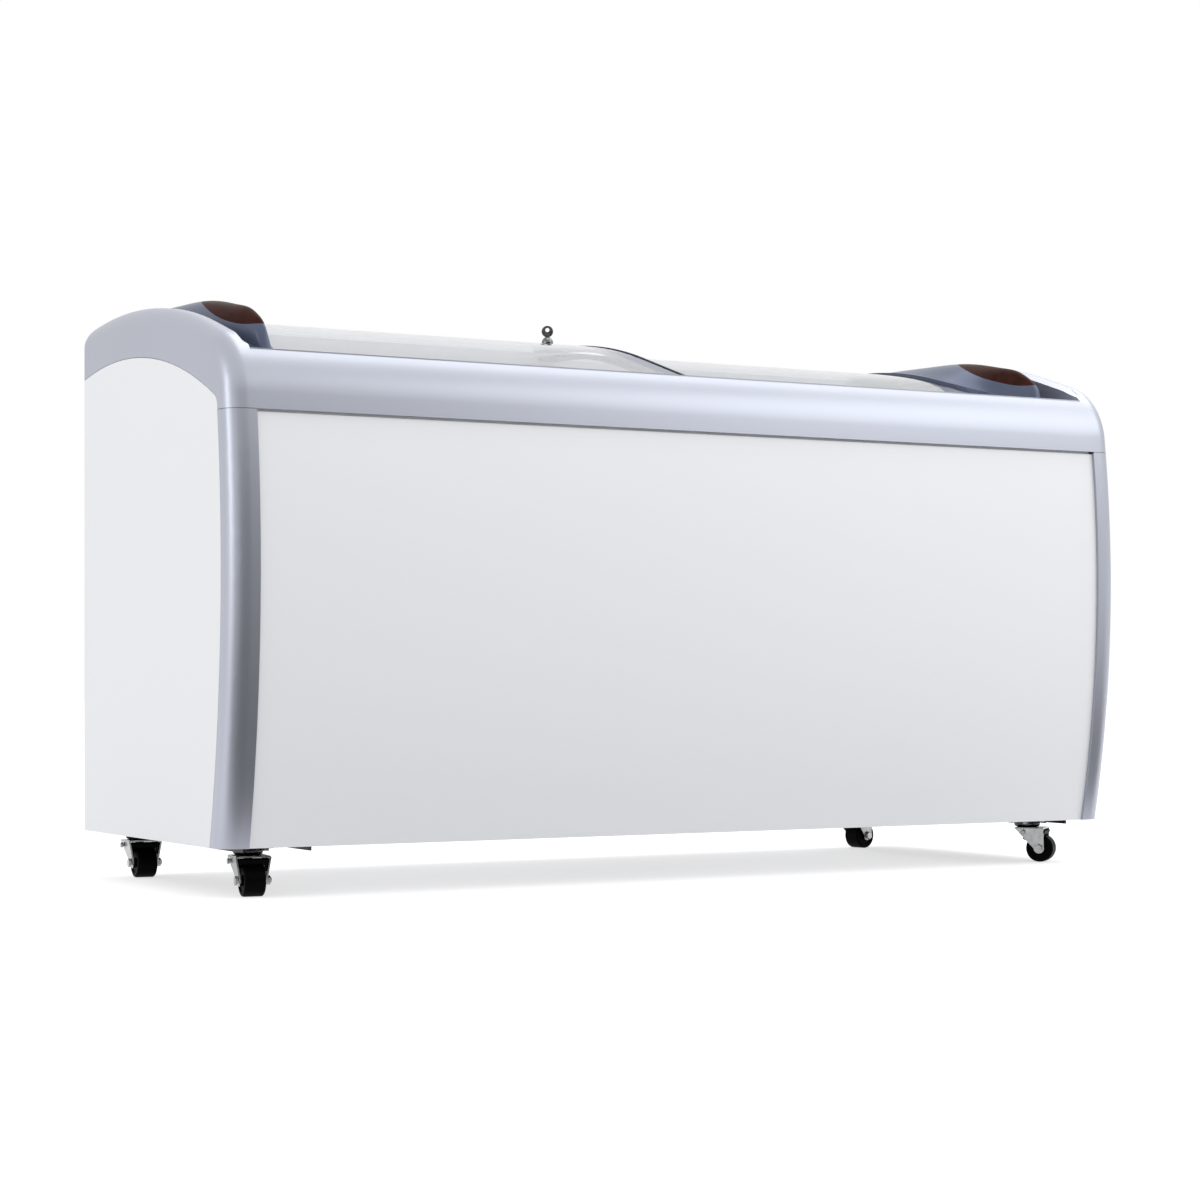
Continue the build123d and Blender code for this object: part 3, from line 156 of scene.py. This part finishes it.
# Trim on the tank's rim.
# A strip of white plastic at each end, extruded and glued over the cut edges of the tank and the foam.
# It is raised from the foam's own rim, whose faces look up and a little to the front.
def soften(part, width):
    """Round the sharp edges of a bmesh."""
    sharp = [edge for edge in part.edges if edge.is_manifold and edge.calc_face_angle() > radians(40)]
    bmesh.ops.bevel(part, geom=sharp, offset=width, offset_type="OFFSET", affect="EDGES", segments=2,
                    profile=0.5, material=-1)


def piece(name, body, finish, *meshes):
    """One new object made of bmeshes, riding on a body."""
    joined = bmesh.new()
    for part in meshes:
        held = bpy.data.meshes.new(name)
        part.to_mesh(held)
        part.free()
        joined.from_mesh(held)
        bpy.data.meshes.remove(held)
    bmesh.ops.recalc_face_normals(joined, faces=joined.faces)
    mesh = bpy.data.meshes.new(name)
    joined.to_mesh(mesh)
    joined.free()
    mesh.materials.append(finish)
    made = bpy.data.objects.new(name, mesh)
    bpy.context.scene.collection.objects.link(made)
    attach(made, body)


foam_start = 0.8368
foam_end = 0.8487
rim_rear = 0.2755
rim_reach = 1e-4
trim_start = 0.8346
trim_height = 0.0012
trim_edge = 0.0004
strips = bmesh.new()
strips.from_mesh(nodes["insulation_foam"].data)
bmesh.ops.remove_doubles(strips, verts=strips.verts, dist=1e-5)
strips.normal_update()
spare = []
for face in strips.faces:
    at_end = all(foam_start - rim_reach < abs(vert.co.x) < foam_end + rim_reach for vert in face.verts)
    looks_up = face.normal.z > 0.3 and face.normal.y < -0.003
    if not (at_end and looks_up and face.calc_center_median().y < rim_rear):
        spare.append(face)
bmesh.ops.delete(strips, geom=spare, context="FACES")
inside = [vert for vert in strips.verts if abs(vert.co.x) < foam_start + rim_reach]
bmesh.ops.scale(strips, verts=inside, vec=(trim_start / foam_start, 1, 1))
bmesh.ops.solidify(strips, geom=strips.faces[:], thickness=-trim_height)
bmesh.ops.recalc_face_normals(strips, faces=strips.faces)
soften(strips, trim_edge)
piece("rim_trim", "cabinet", track, strips)

# Channels under the base.
# Folded steel, dipped black and bolted under the base pan to carry the casters.
black_dip = surface("black_dip", (0.010, 0.010, 0.011), (0.028, 0.028, 0.030),
                    drift=40.0, rough=(0.38, 0.55), grain=500.0, depth=4e-5)
dress(black_dip, "base_channels")

# Caster plates.
# Pressed steel with the race of the swivel, chemically blackened and oiled, bolted under the channels.
blued = surface("blackened_steel", (0.045, 0.045, 0.048), (0.11, 0.11, 0.115),
                drift=90.0, rough=(0.18, 0.30), grain=900.0, depth=8e-6, metallic=1.0)
dress(blued, "caster_plates")

# Caster forks and bolts.
# Pressed steel, zinc plated and passivated. Each fork turns under its plate on a king pin.
plated = surface("plated_steel", (0.30, 0.305, 0.31), (0.52, 0.525, 0.53),
                 drift=90.0, rough=(0.20, 0.32), grain=900.0, depth=8e-6, metallic=1.0)
corners = ("front_left", "front_right", "rear_left", "rear_right")
dress(plated, "caster_bolts", *[corner + "_caster_fork" for corner in corners])

# Caster wheels.
# Moulded black nylon with a smooth tread, turning on a bolt through the fork.
# This near-black also paints the shade inside the caster forks, on the hoods below.
nylon_and_painted_shade = surface("black_nylon_and_painted_shade", (0.0010, 0.0010, 0.0011), (0.0026, 0.0026, 0.0028),
                drift=60.0, rough=(0.40, 0.50), grain=900.0, depth=5e-6, specular=0.03)
dress(nylon_and_painted_shade, *[corner + "_caster_wheel" for corner in corners])

# Painted shade inside the caster forks, shaped as hoods over the wheels.
# The same near-black as the wheels, set between the legs of each fork where the fork shows dark in shade; these
# pieces stand in for that shade and are no real part.
# Each is a bar bent round the top and back of its wheel, and wider towards the top, as the fork is.
headings = {"front_left": 261.0, "front_right": 309.0, "rear_left": 265.5, "rear_right": 13.0}
heading_as_bent = -90.0
shade_hood_inner = 0.0277
shade_hood_outer = 0.0362
shade_hood_width = 0.0396
shade_hood_spread = 8.6
shade_hood_start = 30.0
shade_hood_sweep = 81.0
shade_hood_steps = 18
shade_hood_edge = 0.0008
for corner in corners:
    wheel_low, wheel_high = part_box(corner + "_caster_wheel")
    shade_hood = bmesh.new()
    bmesh.ops.create_grid(shade_hood, x_segments=1, y_segments=1, size=0.5)
    bmesh.ops.scale(shade_hood, verts=shade_hood.verts, vec=(shade_hood_width, shade_hood_outer - shade_hood_inner, 1))
    bmesh.ops.translate(shade_hood, verts=shade_hood.verts, vec=(0, (shade_hood_inner + shade_hood_outer) / 2, 0))
    bmesh.ops.rotate(shade_hood, verts=shade_hood.verts, matrix=Matrix.Rotation(radians(shade_hood_start), 3, "X"))
    bmesh.ops.spin(shade_hood, geom=shade_hood.verts[:] + shade_hood.edges[:] + shade_hood.faces[:], cent=(0, 0, 0), axis=(1, 0, 0),
                   angle=radians(shade_hood_sweep), steps=shade_hood_steps, use_merge=False, use_normal_flip=False,
                   use_duplicate=False)
    for vert in shade_hood.verts:
        bmesh.ops.scale(shade_hood, verts=[vert], vec=(1 + shade_hood_spread * vert.co.z, 1, 1))
    soften(shade_hood, shade_hood_edge)
    heading = radians(headings[corner] - heading_as_bent)
    bmesh.ops.rotate(shade_hood, verts=shade_hood.verts, matrix=Matrix.Rotation(heading, 3, "Z"))
    bmesh.ops.translate(shade_hood, verts=shade_hood.verts, vec=(wheel_low + wheel_high) / 2)
    # Each hood is painted shade: a black piece where the fork is only in shade.
    piece(corner + "_painted_shade_hood", corner + "_swivel", nylon_and_painted_shade, shade_hood)

# Compressor, condenser and fan motor.
# Pressed steel shells and bent tube, sprayed black and bolted to the base pan.
enamel = surface("black_enamel", (0.010, 0.010, 0.011), (0.022, 0.022, 0.024),
                 drift=25.0, rough=(0.25, 0.4), grain=600.0, depth=4e-5)
dress(enamel, "compressor", "condenser_coil", "fan_motor")

# Feet of the compressor.
# Moulded black rubber, set between the compressor and the pan to keep its hum out of the cabinet.
rubber = surface("black_rubber", (0.006, 0.006, 0.010), (0.014, 0.014, 0.020),
                 drift=70.0, rough=(0.5, 0.62), grain=1200.0, depth=1e-5, specular=0.2)
dress(rubber, "compressor_feet")

# Drain, fan shroud, vent grille and control plate.
# Grey plastic, moulded with a spark eroded grain and let into cut-outs in the sheet.
grey_moulding = surface("grey_moulding", (0.40, 0.41, 0.43), (0.46, 0.47, 0.49),
                        drift=12.0, rough=(0.45, 0.6), grain=1100.0, depth=6e-5)
dress(grey_moulding, "drain_tube", "drain_cap", "fan_shroud", "vent_grille", "control_plate")

# Relay box, fan, knob, rocker and cable gland.
# Black moulded plastic; the fan and the knob are pressed on their shafts, the rest snaps in.
black_plastic = surface("black_plastic", (0.014, 0.014, 0.015), (0.026, 0.026, 0.028),
                        drift=60.0, rough=(0.35, 0.5), grain=1500.0, depth=4e-5)
dress(black_plastic, "relay_box", "condenser_fan", "thermostat_knob", "power_rocker", "power_inlet")

# Indicator lamps.
# Clear red plastic lenses, pressed into the control plate from behind.
red_lens = surface("red_lens", (0.36, 0.02, 0.012), (0.55, 0.05, 0.02),
                   drift=300.0, rough=(0.08, 0.16), grain=1500.0, depth=1e-5)
dress(red_lens, "indicator_lamps")

# Marks round the thermostat knob.
# A tick and a number for each step of the thermostat, printed in white on the control plate.
print_white = surface("printed_white", (0.74, 0.74, 0.73), (0.80, 0.80, 0.79),
                      drift=300.0, rough=(0.5, 0.6), grain=2500.0, depth=1e-6)
knob_low, knob_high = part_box("thermostat_knob")
knob_y = (knob_low.y + knob_high.y) / 2
knob_z = (knob_low.z + knob_high.z) / 2
recess_floor = 0.8885
dial_start = -120
dial_step = 40
mark_height = 0.0002
tick_width = 0.0007
tick_length = 0.0026
tick_reach = 0.0178
numeral_size = 0.0052
numeral_reach = 0.0228
upright = Matrix(((0, 0, 1), (1, 0, 0), (0, 1, 0))).to_4x4()
mark_x = recess_floor + mark_height / 2
marks = []
for step in range(7):
    angle = radians(dial_start + dial_step * step)
    tick = bmesh.new()
    bmesh.ops.create_cube(tick, size=1.0)
    bmesh.ops.scale(tick, verts=tick.verts, vec=(mark_height, tick_width, tick_length))
    bmesh.ops.translate(tick, verts=tick.verts, vec=(mark_x, 0, tick_reach))
    bmesh.ops.rotate(tick, verts=tick.verts, matrix=Matrix.Rotation(-angle, 3, "X"))
    bmesh.ops.translate(tick, verts=tick.verts, vec=(0, knob_y, knob_z))
    marks.append(tick)
    text = bpy.data.curves.new("numeral", "FONT")
    text.body = str(step + 1)
    text.size = numeral_size
    text.extrude = mark_height / 2
    text.align_x = "CENTER"
    text.align_y = "CENTER"
    holder = bpy.data.objects.new("numeral", text)
    numeral = bmesh.new()
    numeral.from_mesh(holder.to_mesh())
    holder.to_mesh_clear()
    bpy.data.objects.remove(holder)
    bmesh.ops.remove_doubles(numeral, verts=numeral.verts, dist=1e-6)
    bmesh.ops.transform(numeral, verts=numeral.verts, matrix=upright)
    bmesh.ops.translate(numeral, verts=numeral.verts, vec=(
        mark_x, knob_y + numeral_reach * sin(angle), knob_z + numeral_reach * cos(angle)))
    marks.append(numeral)
piece("thermostat_marks", "cabinet", print_white, *marks)

# Rivets of the control plate.
# Blind rivets, nickel plated, one in each corner of the plate. Their heads are left hollow by the drawn pin.
nickel = surface("nickel_plate", (0.12, 0.12, 0.125), (0.26, 0.26, 0.26),
                 drift=160.0, rough=(0.14, 0.26), grain=1600.0, depth=6e-6, metallic=1.0)
plate_low, plate_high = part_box("control_plate")
rivet_inset = 0.011
rivet_height = 0.0011
rivet_radius = 0.0027
crown_radius = 0.0018
crown_wall = 0.0008
hollow_depth = 0.0006
rivet_edge = 0.0001
rivets = []
for y in (plate_low.y + rivet_inset, plate_high.y - rivet_inset):
    for z in (plate_low.z + rivet_inset, plate_high.z - rivet_inset):
        head = bmesh.new()
        bmesh.ops.create_cone(head, cap_ends=True, segments=24, radius1=rivet_radius, radius2=crown_radius,
                              depth=rivet_height)
        head.normal_update()
        crown = [face for face in head.faces if face.normal.z > 0.9]
        bmesh.ops.inset_region(head, faces=crown, thickness=crown_wall, depth=-hollow_depth,
                               use_even_offset=True)
        soften(head, rivet_edge)
        bmesh.ops.rotate(head, verts=head.verts, matrix=Matrix.Rotation(radians(90), 3, "Y"))
        bmesh.ops.translate(head, verts=head.verts, vec=(recess_floor + rivet_height / 2, y, z))
        rivets.append(head)
piece("control_plate_rivets", "cabinet", nickel, *rivets)

# Baskets.
# Steel wire, welded and powder coated white, hung by their rims on the tank's ledges.
powder = surface("powder_wire", (0.76, 0.77, 0.78), (0.84, 0.85, 0.86),
                 drift=60.0, rough=(0.35, 0.5), grain=1500.0, depth=3e-5)
for name in ("basket_1", "basket_2", "basket_3"):
    dress(powder, name)
    weld(name)
    rounding = nodes[name].modifiers.new("rounding", "BEVEL")
    rounding.width = 0.0011
    rounding.segments = 2
    rounding.limit_method = "ANGLE"
    rounding.angle_limit = radians(40)

# Lid panes.
# Tempered float glass, curved on a mould; clear, with a faint film of dust. The left one runs above the right.
pane = surface("clear_pane", (0.90, 0.925, 0.975), (0.915, 0.94, 0.99),
               drift=6.0, rough=(0.0, 0.02), grain=90.0, depth=1e-6)
pane_shader = pane.node_tree.nodes["Principled BSDF"]
pane_shader.inputs["Transmission Weight"].default_value = 1.0
pane_shader.inputs["IOR"].default_value = 1.32
pane_shader.inputs["Specular Tint"].default_value = (0.88, 0.92, 1.0, 1)
dress(pane, "left_lid_glass", "right_lid_glass")

# End frames of the lids with their raised pulls.
# Moulded in a darker, glossier blue grey and glued over the outer ends of the glass.
slate = surface("slate_moulding", (0.084, 0.101, 0.155), (0.104, 0.121, 0.178),
                drift=5.0, rough=(0.28, 0.34), grain=2400.0, depth=5e-6, metallic=0.35, specular=0.2)
dress(slate, "left_lid_end_frame", "right_lid_end_frame")

# Frames at the inner ends of the lids.
# Strips of plastic, moulded in a blue grey and glued under the glass to stiffen its free edge.
# The clear glue wets both, so the strips swell a hair into the panes and no air shows between them.
light_grey = surface("light_moulding", (0.085, 0.115, 0.205), (0.100, 0.132, 0.228),
                     drift=8.0, rough=(0.35, 0.42), grain=2000.0, depth=5e-6)
for name in ("left_lid_inner_frame", "right_lid_inner_frame"):
    dress(light_grey, name)
    weld(name)
    glue = nodes[name].modifiers.new("glue", "DISPLACE")
    glue.strength = 0.0008
    glue.mid_level = 0.0
    crease(name)

# Grips in the pulls.
# Brown plastic with a low gloss, pressed into the raised pulls.
brown = surface("brown_grip", (0.022, 0.0065, 0.005), (0.052, 0.016, 0.011),
                drift=45.0, rough=(0.30, 0.40), grain=1300.0, depth=1e-5, specular=0.03)
dress(brown, "left_lid_grip", "right_lid_grip")

# Seal on the upper lid's free edge.
# The same black rubber as the compressor's feet, extruded and pushed over the edge of the glass.
dress(rubber, "centre_seal")

# Lock and key.
# Turned brass, nickel plated as the rivets are and set through the upper lid; the key is stamped.
dress(nickel, "lock_barrel", "key")


# Studio: a pale floor, a white surround and soft boxes.
# The floor and the backdrop show white to the camera and in reflections, and the floor keeps the shadow.
def seen_directly(tree):
    """One for camera, glossy and transmission rays, and nought for the rest."""
    path = tree.nodes.new("ShaderNodeLightPath")
    total = path.outputs["Is Camera Ray"]
    for kind in ("Is Glossy Ray", "Is Transmission Ray"):
        either = tree.nodes.new("ShaderNodeMath")
        either.operation = "MAXIMUM"
        tree.links.new(total, either.inputs[0])
        tree.links.new(path.outputs[kind], either.inputs[1])
        total = either.outputs["Value"]
    return total


scene = bpy.context.scene
bpy.ops.mesh.primitive_plane_add(size=60.0)
floor = bpy.context.object
floor.name = "floor"
paper = bpy.data.materials.new("floor_paper")
paper.use_nodes = True
paper_shader = paper.node_tree.nodes["Principled BSDF"]
paper_shader.inputs["Base Color"].default_value = (0.55, 0.55, 0.56, 1)
paper_shader.inputs["Roughness"].default_value = 0.9
paper_shader.inputs["Specular IOR Level"].default_value = 0.0
paper_shader.inputs["Emission Color"].default_value = (1, 1, 1, 1)
lift = paper.node_tree.nodes.new("ShaderNodeMath")
lift.operation = "MULTIPLY"
lift.inputs[1].default_value = 0.6
paper.node_tree.links.new(seen_directly(paper.node_tree), lift.inputs[0])
paper.node_tree.links.new(lift.outputs["Value"], paper_shader.inputs["Emission Strength"])
floor.data.materials.append(paper)

world = bpy.data.worlds.new("studio")
scene.world = world
world.use_nodes = True
sky = world.node_tree.nodes["Background"]
sky.inputs["Color"].default_value = (1, 1, 1, 1)


def soft_box(name, place, aim, width, height, power):
    """A rectangular lamp turned towards a point."""
    lamp = bpy.data.lights.new(name, "AREA")
    lamp.shape = "RECTANGLE"
    lamp.size = width
    lamp.size_y = height
    lamp.energy = power
    box = bpy.data.objects.new(name, lamp)
    box.location = place
    box.rotation_euler = (Vector(aim) - Vector(place)).to_track_quat("-Z", "Y").to_euler()
    scene.collection.objects.link(box)


soft_box("ceiling_box", place=(1.7, 0.5, 3.2), aim=(1.7, 0.5, 0.0), width=4.0, height=2.4, power=58.0)
soft_box("front_box", place=(2.8, -2.6, 2.9), aim=(0.6, -0.3, 0.6), width=3.0, height=2.2, power=35.0)
soft_box("side_box", place=(-3.4, -0.1, 1.3), aim=(-0.8, -0.2, 0.7), width=0.8, height=1.6, power=11.0)

# Dark cards of the studio, in front of the freezer.
# Black felt that thins out to one edge. They only show in reflections, where they shade the silver.
felt = bpy.data.materials.new("black_felt")
felt.use_nodes = True
weave = felt.node_tree
cloth = weave.nodes["Principled BSDF"]
cloth.inputs["Base Color"].default_value = (0.02, 0.02, 0.02, 1)
cloth.inputs["Roughness"].default_value = 1.0
where = weave.nodes.new("ShaderNodeTexCoord")
split = weave.nodes.new("ShaderNodeSeparateXYZ")
weave.links.new(where.outputs["Generated"], split.inputs["Vector"])
fade = weave.nodes.new("ShaderNodeMapRange")
fade.interpolation_type = "SMOOTHSTEP"
fade.inputs["From Min"].default_value = 0.5
fade.inputs["From Max"].default_value = 1.0
fade.inputs["To Min"].default_value = 1.0
fade.inputs["To Max"].default_value = 0.0
weave.links.new(split.outputs["Y"], fade.inputs["Value"])
weave.links.new(fade.outputs["Result"], cloth.inputs["Alpha"])


def dark_card(name, centre, width, depth, tilt):
    """A felt card, tilted by so many degrees about its length."""
    bpy.ops.mesh.primitive_plane_add(size=1.0)
    card = bpy.context.object
    card.name = name
    card.scale = (width, depth, 1.0)
    card.rotation_euler = (radians(tilt), 0, 0)
    card.location = centre
    card.visible_camera = False
    card.visible_diffuse = False
    card.visible_shadow = False
    card.data.materials.append(felt)


dark_card("standing_card", centre=(-1.7, -5.0, 1.4), width=8.6, depth=2.8, tilt=90)
dark_card("lying_card", centre=(-1.5, -2.75, 0.002), width=9.0, depth=4.5, tilt=180)

# Camera.
# It stands level, left of the freezer's front and below the lids, as the photograph's does.
camera_data = bpy.data.cameras.new("camera")
camera_data.sensor_width = 36.0
camera_data.lens = 82.5
camera_data.shift_y = 0.0605
camera = bpy.data.objects.new("camera", camera_data)
camera.location = (-2.5705, -4.333, 0.3614)
camera.rotation_euler = (radians(90), 0, radians(-30.3))
scene.collection.objects.link(camera)
scene.camera = camera
scene.view_settings.view_transform = "Standard"
